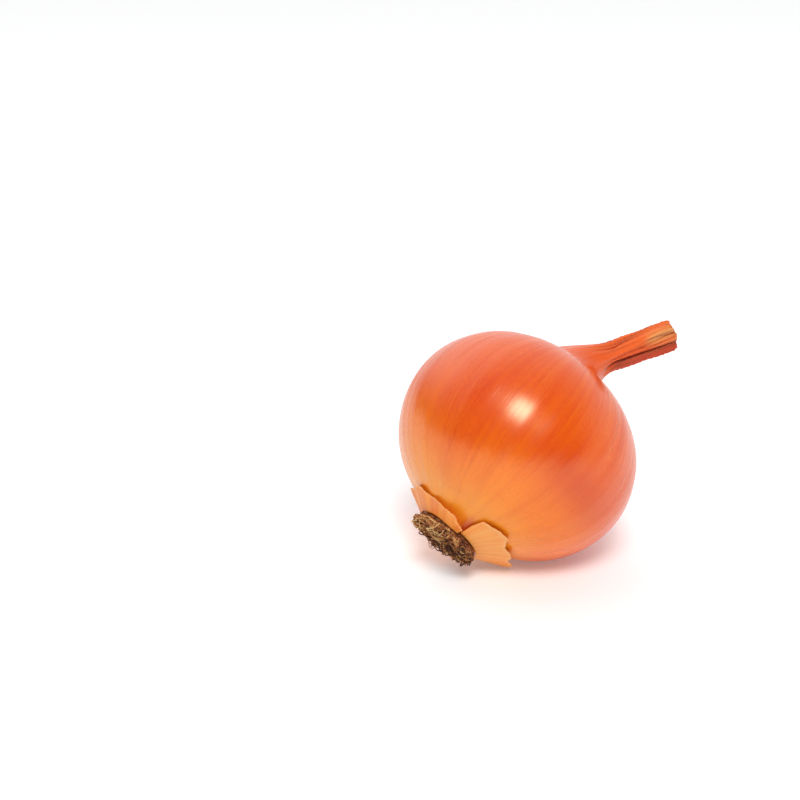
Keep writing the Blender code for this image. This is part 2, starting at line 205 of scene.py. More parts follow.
def waves(azimuth, height, terms, seed):
    """The sum of waves round the axis. Each starts at a seeded place and slants with height."""
    starts = np.random.default_rng(seed).uniform(0, 2 * math.pi, len(terms))
    total = 0.0
    for (count, size, slant), start in zip(terms, starts):
        total = total + size * np.cos(count * azimuth + start + slant * height / (10 * MM))
    return total


def up_neck(height):
    """How far up the neck a height is, 0 to 1."""
    return np.clip((height - NECK_START) / (NECK_END - NECK_START), 0.0, 1.0)


def leaf_edges(turned, up):
    """The dry leaves that wrap the neck: round the axis, each swells slowly and then drops sharply at
    its own edge, which leans as it runs up."""
    total = 0.0
    for start, lean, step in LEAF_EDGES:
        past = ((turned - start - lean * up) / (2 * math.pi)) % 1.0
        total = total + step * (np.minimum(past / (1 - EDGE_SHARE), (1 - past) / EDGE_SHARE) - 0.5)
    return total


def furrows(turned, up):
    """How deep the neck is furrowed, 0 to 1: sets of sharp notches round the axis, which wander as they
    run up and fade in and out."""
    total = 0.0
    for number, (count, size, wander) in enumerate(FURROWS):
        aside = wander * np.sin(3.1 * up + 1.9 * number)
        notch = (1 - np.abs(np.sin(0.5 * count * (turned + aside) + number))) ** 3
        fading = 0.6 + 0.4 * np.cos((number + 2) * turned + 2.3 * number + 4.0 * up)
        total = total + size * notch * fading
    return np.clip(total, 0.0, 1.0)


def crinkles(turned, height):
    """Small crosswise crinkles of the dried neck: waves up its height, whose crests wander up and down
    as they run round the axis."""
    broad, narrow = CRINKLE_WANDER
    total = 0.0
    for length, size, windings in CRINKLES:
        crest = broad * np.sin(windings * turned + length / MM) + narrow * np.sin(2 * windings * turned)
        total = total + size * np.cos(2 * math.pi * height / length + crest)
    return total


def skin_surface(outline, azimuth):
    """Points of the skin for each (radius, height) row and azimuth: the turned outline with lobes and
    ribs and, on the neck, folds, leaf edges, furrows, crinkles, a crosswise crease and the groove
    beside the lower strand. It also gives how deep in a furrow or the groove each point lies, 0 to 1,
    which sets the painted shade there."""
    radius, height = outline[:, :1], outline[:, 1:]
    for count, share, start in LOBES:
        radius = radius * (1 + share * np.cos(count * azimuth + start))
    on_neck = ease((height - NECK_START + FOLDS_BELOW_NECK) / FOLDS_RISE)
    ribs = waves(azimuth, height, RIBS, WAVE_SEED) + waves(azimuth, height, FINE_RIBS, WAVE_SEED + 3)
    ribs = ribs * np.clip(radius / RIBS_FADE_RADIUS, 0.0, 1.0) * (1 - on_neck)
    up = up_neck(height)
    turned = azimuth + NECK_TWIST * up
    notches = furrows(turned, up)
    groove = hump(wrapped(turned - STRAND_GROOVE - GROOVE_DRIFT * up), GROOVE_WIDTH)
    crease = hump(wrapped(turned - CREASE_AT), CREASE_WIDTH) * hump(height - CREASE_HEIGHT, CREASE_LENGTH)
    relief = waves(turned, height, FOLDS, WAVE_SEED + 1) + leaf_edges(turned, up)
    relief = relief + NECK_FLATNESS * radius * np.cos(2 * turned)
    relief = relief - GROOVE_DEPTH * groove - FURROW_DEPTH * notches - CREASE_DEPTH * crease
    relief = relief + crinkles(turned, height)
    inside = np.clip(radius / NECK_RADIUS, 0.0, 1.0)
    radius = radius + ribs + on_neck * inside * relief
    ragged = waves(azimuth, 0.0, RAGGED_WAVES, WAVE_SEED + 2)
    ragged = ragged + waves(azimuth, 0.0, FINE_RAGGED_WAVES, WAVE_SEED + 4)
    height = height + RAGGED_END * ragged * ease((height - NECK_END + RAGGED_LENGTH) / RAGGED_LENGTH)
    points = np.stack(
        np.broadcast_arrays(radius * np.cos(azimuth), radius * np.sin(azimuth), height), axis=-1
    )
    return points, np.clip(on_neck * (notches + GROOVE_SHADE * groove), 0.0, 1.0)


def bent(points):
    """Points of the straight onion moved to the bent neck: set a little aside, an arc, then straight on."""
    over = np.clip(points[..., 2] - BEND_START, 0.0, None)
    turn = np.clip(over / BEND_LENGTH, 0.0, 1.0) * NECK_BEND
    bend_radius = BEND_LENGTH / NECK_BEND
    past = np.clip(over - BEND_LENGTH, 0.0, None)
    side = np.array([math.cos(BEND_TOWARDS), math.sin(BEND_TOWARDS)])
    across = points[..., :2] @ side
    aside = bend_radius * (1 - np.cos(turn)) + past * np.sin(turn)
    height = bend_radius * np.sin(turn) + past * np.cos(turn)
    shift = across * (np.cos(turn) - 1) + aside + NECK_ASIDE * ease(over / BEND_LENGTH)
    moved = points.copy()
    moved[..., :2] += shift[..., None] * side
    moved[..., 2] = np.where(over > 0, BEND_START + height - across * np.sin(turn), points[..., 2])
    return moved


def belly():
    """(where the belly's lowest point is along the ground from the bulb's middle, its depth below it)."""
    outline = body_outline(np.radians(np.linspace(60, 150, 2000)))
    depth = outline[:, 0] * math.cos(LEAN) - outline[:, 1] * math.sin(LEAN)
    lowest = int(np.argmax(depth))
    ahead = outline[lowest, 0] * math.sin(LEAN) + outline[lowest, 1] * math.cos(LEAN)
    return float(ahead), float(depth[lowest])


BELLY_AHEAD, BELLY_DEPTH = belly()
BULB_MIDDLE = Vector((-BELLY_AHEAD, 0.0, BELLY_DEPTH - BELLY_PRESSED))


def laid_down(points, lowest=0.0):
    """Points of the onion's own frame, whose origin is the bulb's middle, whose +Z runs to the neck and
    whose +X runs to the ground, moved to where it lies. What would be under the ground is pressed flat."""
    across, aside, up = points[..., 0], points[..., 1], points[..., 2]
    ahead = across * math.sin(LEAN) + up * math.cos(LEAN) + BULB_MIDDLE.x
    height = up * math.sin(LEAN) - across * math.cos(LEAN) + BULB_MIDDLE.z
    return np.stack([ahead, aside, np.maximum(height, lowest)], axis=-1)


def closed_rings(first, rings, last):
    """(points, faces) of one closed surface: a point, rings of points each joined to the next, a point."""
    rows, sides = rings.shape[:2]
    points = np.concatenate([[first], rings.reshape(-1, 3), [last]])
    here = 1 + np.arange(rows * sides).reshape(rows, sides)
    beside = np.roll(here, -1, axis=1)
    walls = np.stack([here[:-1], here[1:], beside[1:], beside[:-1]], axis=-1).reshape(-1, 4)
    first_fan = np.stack([np.zeros(sides, int), here[0], beside[0]], axis=-1)
    last_fan = np.stack([np.full(sides, len(points) - 1), beside[-1], here[-1]], axis=-1)
    return points, walls.tolist() + first_fan.tolist() + last_fan.tolist()


def add_piece(name, points, faces):
    """A smooth-shaded object of these points and faces, which belongs to the onion's body."""
    mesh = bpy.data.meshes.new(name)
    mesh.from_pydata(np.asarray(points).reshape(-1, 3).tolist(), [], faces)
    mesh.shade_smooth()
    made = bpy.data.objects.new(name, mesh)
    bpy.context.scene.collection.objects.link(made)
    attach(made, "root")
    return made


def keep_values(made, name, values):
    """Stores one vector, or one number, for each point of the piece."""
    kind, field = ("FLOAT_VECTOR", "vector") if np.ndim(values) == 2 else ("FLOAT", "value")
    stored = made.data.attributes.new(name, kind, "POINT")
    stored.data.foreach_set(field, np.ravel(values).astype(np.float32))


def ring_values(first, values, last):
    """Values of a grid of rings in the order of closed_rings' points."""
    return np.concatenate([[first], values.reshape(-1, values.shape[-1]), [last]])


# Where the skin has other colours: the tan leaf near the tip and the deep red lower strand (its width and
# soft edges in radians past the groove). Painted shade in deep red darkens the recess between the torn
# scraps, and a patch on the side facing the viewer, below the middle, that stands in for less light there
TAN_AT = math.radians(-104)
TAN_WIDTH = math.radians(36)
TAN_LENGTH = 12 * MM
TAN_FADE = 5 * MM
STRAND_EDGES = (0.2, 0.4)
STRAND_WIDTH = 1.5
STRAND_BELOW_NECK = 4 * MM
STRAND_RISE = 6 * MM
RECESS_AT = math.radians(-121)
RECESS_WIDTH = math.radians(9)
RECESS_RADIUS = 17 * MM
RECESS_FADE = 5 * MM
SHADE_PATCH_AT = math.radians(-101)
SHADE_PATCH_WIDTH = math.radians(30)
SHADE_PATCH_ALONG = 0.36
SHADE_PATCH_LENGTH = 0.055
SHADE_PATCH_SHARE = 0.62
# Painted shade inside the cupped neck end: how dark it is, and over how many rings
CUP_SHADE = 0.8
CUP_SHADE_RINGS = CUP_RINGS - 4

outline = onion_outline()
azimuth = np.arange(SIDES)[None] * 2 * math.pi / SIDES
rows = outline[1:-1]
rings, furrow = skin_surface(rows, azimuth)
skin_points, skin_faces = closed_rings((0, 0, outline[0, 1]), rings, (0, 0, outline[-1, 1]))
skin = add_piece("onion_skin", laid_down(bent(skin_points)), skin_faces)
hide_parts("bulb")

radius, height = rows[:, :1], rows[:, 1:]
turned = azimuth + NECK_TWIST * up_neck(height)
along = way_along(outline)
way = np.stack(np.broadcast_arrays(np.cos(turned), np.sin(turned), along[1:-1, None]), axis=-1)
keep_values(skin, "way", ring_values((0, 0, along[0]), way, (0, 0, 0)))
# Painted shade: the recess between the torn scraps, darkened to deep red
recess_shade = hump(wrapped(azimuth - RECESS_AT), RECESS_WIDTH) * ease((RECESS_RADIUS - radius) / RECESS_FADE)
recess_shade = recess_shade * (height < 0)
in_cup = np.arange(len(rows))[:, None] < CUP_SHADE_RINGS
tan_leaf = hump(wrapped(turned - TAN_AT), TAN_WIDTH) * ease((height - NECK_END + TAN_LENGTH) / TAN_FADE)
past_groove = wrapped(turned - STRAND_GROOVE - GROOVE_DRIFT * up_neck(height))
strand = ease(past_groove / STRAND_EDGES[0]) * ease((STRAND_WIDTH - past_groove) / STRAND_EDGES[1])
strand = strand * ease((height - NECK_START + STRAND_BELOW_NECK) / STRAND_RISE)
# Painted shade: the neck's furrows and groove, and the cupped end, are darkened
dark = np.maximum(furrow, in_cup * CUP_SHADE)
# Painted shade: a deep red patch on the side facing the viewer, below the middle
shade_patch = hump(wrapped(azimuth - SHADE_PATCH_AT), SHADE_PATCH_WIDTH) * hump(along[1:-1, None] - SHADE_PATCH_ALONG, SHADE_PATCH_LENGTH)
deep_red_and_shade = np.maximum(np.maximum(strand, recess_shade), SHADE_PATCH_SHARE * shade_patch)
marks_and_shade = np.stack(np.broadcast_arrays(dark, tan_leaf, deep_red_and_shade), axis=-1)
keep_values(skin, "marks_and_shade", ring_values((CUP_SHADE, 0, 0), marks_and_shade, (0, 0, 0)))


def wire(tree, value, socket):
    """Links a socket's value, or sets a plain one; a colour may be given without its alpha."""
    if isinstance(value, bpy.types.NodeSocket):
        tree.links.new(value, socket)
    elif isinstance(value, tuple) and len(value) == 3 and socket.type == "RGBA":
        socket.default_value = (*value, 1.0)
    else:
        socket.default_value = value


def add_node(tree, kind, wired=None, **settings):
    """A new node with these settings, and with these values or links at its inputs."""
    made = tree.nodes.new(kind)
    for name, value in settings.items():
        setattr(made, name, value)
    for name, value in (wired or {}).items():
        wire(tree, value, made.inputs[name])
    return made


def blend(tree, share, first, second):
    """The first colour, with this share of the second laid over it."""
    return add_node(tree, "ShaderNodeMix", {0: share, 6: first, 7: second}, data_type="RGBA").outputs[2]


def fit(tree, value, low, high, to_low=0.0, to_high=1.0):
    """A value's range from low to high moved to another range, and held at its ends."""
    ends = {"Value": value, "From Min": low, "From Max": high, "To Min": to_low, "To Max": to_high}
    return add_node(tree, "ShaderNodeMapRange", ends).outputs["Result"]


def calc(tree, operation, first, second):
    """One step of arithmetic on two values."""
    return add_node(tree, "ShaderNodeMath", {0: first, 1: second}, operation=operation).outputs[0]


def ramp(tree, value, stops):
    """A colour for a value, from (place, colour) stops."""
    made = add_node(tree, "ShaderNodeValToRGB", {"Fac": value})
    elements = made.color_ramp.elements
    for number, (place, colour) in enumerate(stops):
        stop = elements[number] if number < 2 else elements.new(place)
        stop.position = place
        stop.color = (*colour, 1.0)
    return made.outputs["Color"]


def layered(tree, colour, patterns, layers):
    """The colour with tints laid over it in turn. A layer is (pattern, low, high, share, tint): the tint
    covers nothing where the pattern is at low, and this share where it is at high."""
    for pattern, low, high, share, tint in layers:
        colour = blend(tree, fit(tree, patterns[pattern], low, high, 0.0, share), colour, tint)
    return colour


def noise(tree, place, scale, detail=2.0, roughness=0.5):
    """Soft random patches, 0 to 1."""
    texture = {"Vector": place, "Scale": scale, "Detail": detail, "Roughness": roughness}
    return add_node(tree, "ShaderNodeTexNoise", texture).outputs["Fac"]


def attribute(tree, name, output):
    """Values that keep_values stored on the piece."""
    return add_node(tree, "ShaderNodeAttribute", attribute_name=name).outputs[output]


def new_finish(name):
    """(material, its nodes, its Principled shader)."""
    material = bpy.data.materials.new(name)
    material.use_nodes = True
    return material, material.node_tree, material.node_tree.nodes["Principled BSDF"]


def fibre_group():
    """Streaks that run from the root to the neck: noise on the direction round the axis, drawn out
    along it. Streaks is 0 to 1, and Lines is 1 on thin threads."""
    group = bpy.data.node_groups.new("fibres", "ShaderNodeTree")
    group.interface.new_socket("Way", in_out="INPUT", socket_type="NodeSocketVector")
    for name in ("Count", "Stretch", "Line Width"):
        group.interface.new_socket(name, in_out="INPUT", socket_type="NodeSocketFloat")
    for name in ("Streaks", "Lines"):
        group.interface.new_socket(name, in_out="OUTPUT", socket_type="NodeSocketFloat")
    given = group.nodes.new("NodeGroupInput").outputs
    drawn = add_node(group, "ShaderNodeCombineXYZ", {"X": 1.0, "Y": 1.0, "Z": given["Stretch"]}).outputs[0]
    drawn_out = add_node(group, "ShaderNodeVectorMath", {0: given["Way"], 1: drawn}, operation="MULTIPLY")
    place = drawn_out.outputs[0]
    streaks = noise(group, place, given["Count"], 3.0, 0.6)
    off = calc(group, "ABSOLUTE", calc(group, "SUBTRACT", noise(group, place, given["Count"], 1.0), 0.5), 0.0)
    lines = fit(group, off, 0.0, given["Line Width"], 1.0, 0.0)
    end = group.nodes.new("NodeGroupOutput")
    group.links.new(streaks, end.inputs["Streaks"])
    group.links.new(lines, end.inputs["Lines"])
    return group


FIBRES = fibre_group()


def fibres(tree, way, count, stretch, line_width=0.02):
    """(streaks, lines) at this fineness."""
    made = add_node(tree, "ShaderNodeGroup", node_tree=FIBRES)
    for name, value in (("Way", way), ("Count", count), ("Stretch", stretch), ("Line Width", line_width)):
        wire(tree, value, made.inputs[name])
    return made.outputs["Streaks"], made.outputs["Lines"]


# Skin colours from the root (0) to the neck's lip (1), as linear RGB, and the tints laid over them
SKIN_TINTS = (
    (0.00, (0.93, 0.34, 0.030)),
    (0.15, (0.93, 0.30, 0.014)),
    (0.25, (0.92, 0.205, 0.002)),
    (0.37, (0.84, 0.096, 0.001)),
    (0.58, (0.82, 0.082, 0.001)),
    (0.76, (0.80, 0.076, 0.002)),
    (0.84, (0.85, 0.090, 0.003)),
    (1.00, (0.84, 0.13, 0.010)),
)
RUDDY = (0.70, 0.024, 0.001)
VEIN = (0.58, 0.032, 0.001)
PALE_STREAK = (0.94, 0.21, 0.008)
# The dark of the neck's cracks, also used as painted shade in its furrows, groove and cupped end
DARK_CRACK_AND_SHADE = (0.27, 0.022, 0.006)
NECK_BRIGHT = (0.97, 0.130, 0.001)
NECK_BROWN = (0.58, 0.038, 0.003)
TAN_LEAF = (0.88, 0.45, 0.13)
# The lower strand's own deep red, also used as painted shade in the recess and the patch below the middle
DEEP_RED_AND_SHADE = (0.55, 0.016, 0.001)
SKIN_LAYERS = (
    ("patches", 0.45, 0.70, 0.55, RUDDY),
    ("broad", 0.50, 0.75, 0.24, RUDDY),
    ("broad", 0.48, 0.25, 0.16, PALE_STREAK),
    ("fine", 0.50, 0.80, 0.34, VEIN),
    ("fine", 0.48, 0.22, 0.40, PALE_STREAK),
    ("veins", 0.0, 1.0, 0.30, VEIN),
    ("speckle", 0.55, 0.75, 0.34, VEIN),
    ("speckle", 0.45, 0.25, 0.30, PALE_STREAK),
    ("scratches", 0.0, 1.0, 0.45, PALE_STREAK),
)
NECK_LAYERS = (
    ("coarse", 0.40, 0.66, 1.0, NECK_BROWN),
    ("threads", 0.60, 0.35, 0.55, NECK_BRIGHT),
    ("cracks", 0.0, 1.0, 0.50, DARK_CRACK_AND_SHADE),
)
# Where along the skin the neck's look begins and is full, and how much it, the marks and the painted shade
# cover
NECK_LOOK = (0.76, 0.86)
NECK_COVER = 0.75
DEEP_RED_AND_SHADE_COVER = 0.82
HOLLOW_SHADE_COVER = 0.8
SKIN_ROUGHNESS = (0.23, 0.31)
NECK_ROUGHER = 0.42
SKIN_GLOSS = 0.95
GLOSS_TINT = (1.0, 0.92, 0.62, 1.0)
SKIN_GRAIN = 0.035 * MM
NECK_GRAIN = 5.0


def skin_finish():
    """Papery skin: orange that is yellower at the root and ruddier at the shoulder, with fine streaks,
    thin veins, speckle and pale scratches, a soft gloss, and a neck of coarse fibres with dark cracks.
    Painted shade darkens the neck's furrows, its groove and its cupped end, and painted deep red shade
    lies in the recess between the torn scraps and on a patch below the middle."""
    material, tree, shader = new_finish("papery_skin")
    way = attribute(tree, "way", "Vector")
    along = add_node(tree, "ShaderNodeSeparateXYZ", {0: way}).outputs["Z"]
    mark_and_shade = add_node(tree, "ShaderNodeSeparateXYZ", {0: attribute(tree, "marks_and_shade", "Vector")}).outputs
    place = tree.nodes.new("ShaderNodeTexCoord").outputs["Object"]
    on_neck = fit(tree, along, *NECK_LOOK)
    on_body = fit(tree, along, *NECK_LOOK, 1.0, 0.0)

    broad, veins = fibres(tree, way, 8.0, 0.22, 0.008)
    fine, _ = fibres(tree, way, 40.0, 0.07)
    finest, _ = fibres(tree, way, 75.0, 0.05)
    _, scratches = fibres(tree, way, 5.0, 0.45, 0.003)
    patterns = {
        "patches": noise(tree, place, 26.0),
        "broad": broad,
        "fine": fine,
        "veins": veins,
        "speckle": noise(tree, place, 1100.0, 3.0, 0.7),
        "scratches": scratches,
    }
    colour = layered(tree, ramp(tree, along, SKIN_TINTS), patterns, SKIN_LAYERS)

    coarse, cracks = fibres(tree, way, 3.2, 0.30, 0.02)
    threads, _ = fibres(tree, way, 9.0, 0.16)
    patterns = {"coarse": coarse, "threads": threads, "cracks": cracks}
    dry = layered(tree, NECK_BRIGHT, patterns, NECK_LAYERS)
    colour = blend(tree, calc(tree, "MULTIPLY", on_neck, NECK_COVER), colour, dry)
    colour = blend(tree, calc(tree, "MULTIPLY", mark_and_shade["Y"], fit(tree, coarse, 0.62, 0.42)), colour, TAN_LEAF)
    # The deep red strand, with painted shade in the recess and on the patch below the middle
    colour = blend(tree, calc(tree, "MULTIPLY", mark_and_shade["Z"], DEEP_RED_AND_SHADE_COVER), colour, DEEP_RED_AND_SHADE)
    # Painted shade in the neck's furrows and groove and in the cupped end
    colour = blend(tree, calc(tree, "MULTIPLY", mark_and_shade["X"], HOLLOW_SHADE_COVER), colour, DARK_CRACK_AND_SHADE)
    wire(tree, colour, shader.inputs["Base Color"])

    rough = fit(tree, fine, 0.3, 0.7, *SKIN_ROUGHNESS)
    rough = calc(tree, "ADD", rough, calc(tree, "MULTIPLY", on_neck, NECK_ROUGHER))
    wire(tree, rough, shader.inputs["Roughness"])
    shader.inputs["Specular IOR Level"].default_value = SKIN_GLOSS
    shader.inputs["Specular Tint"].default_value = GLOSS_TINT
    body_relief = calc(tree, "ADD", fine, calc(tree, "MULTIPLY", finest, 0.5))
    body_relief = calc(tree, "MULTIPLY", body_relief, on_body)
    neck_relief = calc(tree, "MULTIPLY", calc(tree, "ADD", coarse, threads), on_neck)
    relief = calc(tree, "ADD", body_relief, calc(tree, "MULTIPLY", neck_relief, NECK_GRAIN))
    bump = add_node(tree, "ShaderNodeBump", {"Strength": 1.0, "Distance": SKIN_GRAIN, "Height": relief})
    wire(tree, bump.outputs["Normal"], shader.inputs["Normal"])
    return material


skin.data.materials.append(skin_finish())

# The cut end of the neck shows the rolled dry leaves inside it: one papery sheet after another, here
# a single sheet rolled in on itself. They are pressed together by the outer leaves, and nothing else
# holds them.

LEAF_TURNS = 2.6
LEAF_OUTER_RADIUS = 2.7 * MM
LEAF_INNER_RADIUS = 0.45 * MM
LEAF_FOOT = 0.5 * MM
LEAF_THICKNESS = 0.2 * MM
LEAF_STEPS_ROUND = 220
LEAF_STEPS_UP = 12
LEAF_WRINKLES = ((7, 0.10 * MM, 0.6), (12, 0.07 * MM, -0.8))
LEAF_RAGGED = ((2, 0.40 * MM, 0), (5, 0.28 * MM, 0), (9, 0.18 * MM, 0), (17, 0.10 * MM, 0))
LEAF_TOP = 0.25 * CUP_DEPTH
OPEN_FIBRE = (0.46, 0.12, 0.03)
LEAF_LAYERS = (
    ("streaks", 0.38, 0.66, 1.0, OPEN_FIBRE),
    ("threads", 0.0, 1.0, 0.50, DARK_CRACK_AND_SHADE),
)


def grid_faces(rows, columns):
    """Quads of a grid of points, row after row."""
    number = np.arange(rows * columns).reshape(rows, columns)
    here, beside = number[:-1, :-1], number[:-1, 1:]
    below, across = number[1:, :-1], number[1:, 1:]
    return np.stack([here, beside, across, below], axis=-1).reshape(-1, 4).tolist()


def leaf_roll():
    """A sheet rolled in a spiral about the neck's axis: its radius shrinks steadily with the angle and
    wrinkles with waves, and it rises from the cup's floor to a ragged top just inside the lip."""
    up = np.linspace(0.0, 1.0, LEAF_STEPS_UP + 1)[:, None]
    share = np.linspace(0.0, 1.0, LEAF_STEPS_ROUND + 1)[None]
    angle = share * LEAF_TURNS * 2 * math.pi
    wrinkle = waves(angle * 1.07, up * 10 * MM, LEAF_WRINKLES, WAVE_SEED + 5)
    out = LEAF_OUTER_RADIUS + share * (LEAF_INNER_RADIUS - LEAF_OUTER_RADIUS) + wrinkle
    foot = NECK_END - CUP_DEPTH - LEAF_FOOT
    top = NECK_END - LEAF_TOP + waves(angle / 2, 0.0, LEAF_RAGGED, WAVE_SEED + 6)
    height = foot + up * (top - foot)
    points = np.stack(np.broadcast_arrays(out * np.cos(angle), out * np.sin(angle), height), axis=-1)
    return points, angle, up


def leaf_finish():
    """Dry tan leaf with lengthwise fibres, browner where the fibres open."""
    material, tree, shader = new_finish("dry_leaf")
    way = attribute(tree, "way", "Vector")
    streaks, threads = fibres(tree, way, 4.0, 0.4, 0.03)
    colour = layered(tree, TAN_LEAF, {"streaks": streaks, "threads": threads}, LEAF_LAYERS)
    wire(tree, colour, shader.inputs["Base Color"])
    shader.inputs["Roughness"].default_value = 0.6
    return material


roll_points, roll_angle, roll_up = leaf_roll()
leaf_ends = add_piece(
    "dry_leaf_ends",
    laid_down(bent(roll_points)),
    grid_faces(LEAF_STEPS_UP + 1, LEAF_STEPS_ROUND + 1),
)
roll_way = np.stack(np.broadcast_arrays(np.cos(roll_angle), np.sin(roll_angle), roll_up * 0.1), axis=-1)
keep_values(leaf_ends, "way", roll_way.reshape(-1, 3))
leaf_ends.data.materials.append(leaf_finish())
leaf_wall = leaf_ends.modifiers.new("wall", "SOLIDIFY")
leaf_wall.thickness = LEAF_THICKNESS
leaf_wall.offset = 0.0

# The root plate is the shrunken base of the stem: a hard, corky disc that every scale and every root
# grows from. It is part of the plant's own body, rough with old root scars and dried soil.

CLEARANCE = 0.35 * MM
PLATE_RADIUS = 10.2 * MM
PLATE_THICKNESS = 0.8 * MM
PLATE_DOME = 0.7 * MM
PLATE_RIM = 0.2 * MM
PLATE_CLEAR_OF_FLOOR = 0.2 * MM
PLATE_SIDES = 180
PLATE_BACK_RINGS = 60
LUMP_SIZES = (0.9 * MM, 3.2 * MM)
LUMP_WAVES = 18
LUMP_HEIGHT = 0.30 * MM
LUMP_SEED = 21
PLATE_BACK = -ROOT_FACE_DEPTH - CLEARANCE - PLATE_THICKNESS


def lumps(points, count, sizes, seed):
    """Random lumps between -1 and 1 on a plane: plane waves of random ways and lengths, added up."""
    draw = np.random.default_rng(seed)
    total = np.zeros(points.shape[:-1])
    for _ in range(count):
        turn, length, start = draw.uniform(0, 2 * math.pi), draw.uniform(*sizes), draw.uniform(0, 2 * math.pi)
        run = points[..., 0] * math.cos(turn) + points[..., 1] * math.sin(turn)
        total += np.cos(2 * math.pi * run / length + start)
    return total / math.sqrt(count)


def plate_rings():
    """Rings of a low disc: a flat seat, a rounded rim and a slightly domed back that is lumpy all over."""
    seat = -ROOT_FACE_DEPTH - CLEARANCE
    widest = (PLATE_RADIUS, seat - 0.4 * PLATE_THICKNESS)
    front = [(0.5 * ROOT_FACE_RADIUS, seat), (ROOT_FACE_RADIUS, seat), widest]
    back_share = np.linspace(1.0, 0.02, PLATE_BACK_RINGS)
    dome = PLATE_BACK - PLATE_DOME * (1 - back_share**2)
    back = np.stack([back_share * (PLATE_RADIUS - PLATE_RIM), dome], axis=-1)
    profile = np.concatenate([front, back])
    around = np.arange(PLATE_SIDES)[None] * 2 * math.pi / PLATE_SIDES
    out, height = profile[:, :1], profile[:, 1:]
    flat = np.stack(np.broadcast_arrays(out * np.cos(around), out * np.sin(around)), axis=-1)
    on_back = np.arange(len(profile))[:, None] >= len(front)
    rough = LUMP_HEIGHT * lumps(flat, LUMP_WAVES, LUMP_SIZES, LUMP_SEED) * on_back
    return np.concatenate([flat, (height - rough)[..., None]], axis=-1)


SOIL = (0.030, 0.009, 0.003)
ROOT_BROWN = (0.38, 0.105, 0.024)
ROOT_STRAW = (0.86, 0.60, 0.26)
CORK_GRAIN = 0.2 * MM


def plate_finish():
    """Corky brown with crumbs of dark soil."""
    material, tree, shader = new_finish("root_plate_cork")
    place = tree.nodes.new("ShaderNodeTexCoord").outputs["Object"]
    crumbs = noise(tree, place, 900.0, 4.0, 0.65)
    colour = ramp(tree, crumbs, ((0.36, SOIL), (0.62, ROOT_BROWN)))
    wire(tree, colour, shader.inputs["Base Color"])
    shader.inputs["Roughness"].default_value = 0.95
    bump = add_node(tree, "ShaderNodeBump", {"Strength": 1.0, "Distance": CORK_GRAIN, "Height": crumbs})
    wire(tree, bump.outputs["Normal"], shader.inputs["Normal"])
    return material


plate_points, plate_faces = closed_rings(
    (0, 0, -ROOT_FACE_DEPTH - CLEARANCE), plate_rings(), (0, 0, PLATE_BACK - PLATE_DOME)
)
plate = add_piece("root_plate", laid_down(plate_points, PLATE_CLEAR_OF_FLOOR), plate_faces)
plate.data.materials.append(plate_finish())

# The roots are dead and dry: hundreds of thin, curled fibres that grow out of the plate's back. They
# were trimmed short when the onion was lifted, and lie matted over the plate with some soil in them,
# more straw-coloured on the upper side.

ROOTS = 1000
ROOT_POINTS = 10
ROOT_SIDES = 4
ROOT_LENGTHS = (3.5 * MM, 9.5 * MM)
ROOT_WIDTHS = (0.22 * MM, 0.60 * MM)
ROOT_HEADINGS = 1.7
MIDDLE_LONGER = 1.1
RIM_SHORTER = 0.5
ROOT_CURL = 0.60
ROOT_WOBBLE = 0.30
MAT_RADIUS = 10.7 * MM
MAT_WAVES = ((3, 0.25 * MM, 0), (5, 0.25 * MM, 0), (9, 0.20 * MM, 0))
MAT_DEPTH = 1.3 * MM
ROOT_ARCH = 2.0 * MM
BEHIND_SCALES = 0.5 * MM
ROOT_SEED = 5
ROOT_CLEAR_OF_FLOOR = 0.4 * MM
ROOTS_PAST_PLATE = 0.3 * MM
RIM_FADE = 0.6 * MM
ROOT_TAPER = 0.45
ROOT_TURNS = np.arange(ROOTS) * math.pi * (3 - math.sqrt(5))
ROOT_TINTS = (
    (0.00, (0.070, 0.020, 0.008)),
    (0.32, ROOT_BROWN),
    (0.66, (0.58, 0.27, 0.080)),
    (1.00, ROOT_STRAW),
)
SHADE_SPREAD = (0.8, 1.3)
STRAW_AT = math.radians(160)
STRAW_SHARE = 0.22
ODD_WAY = (0.37, 0.21, 0.90)


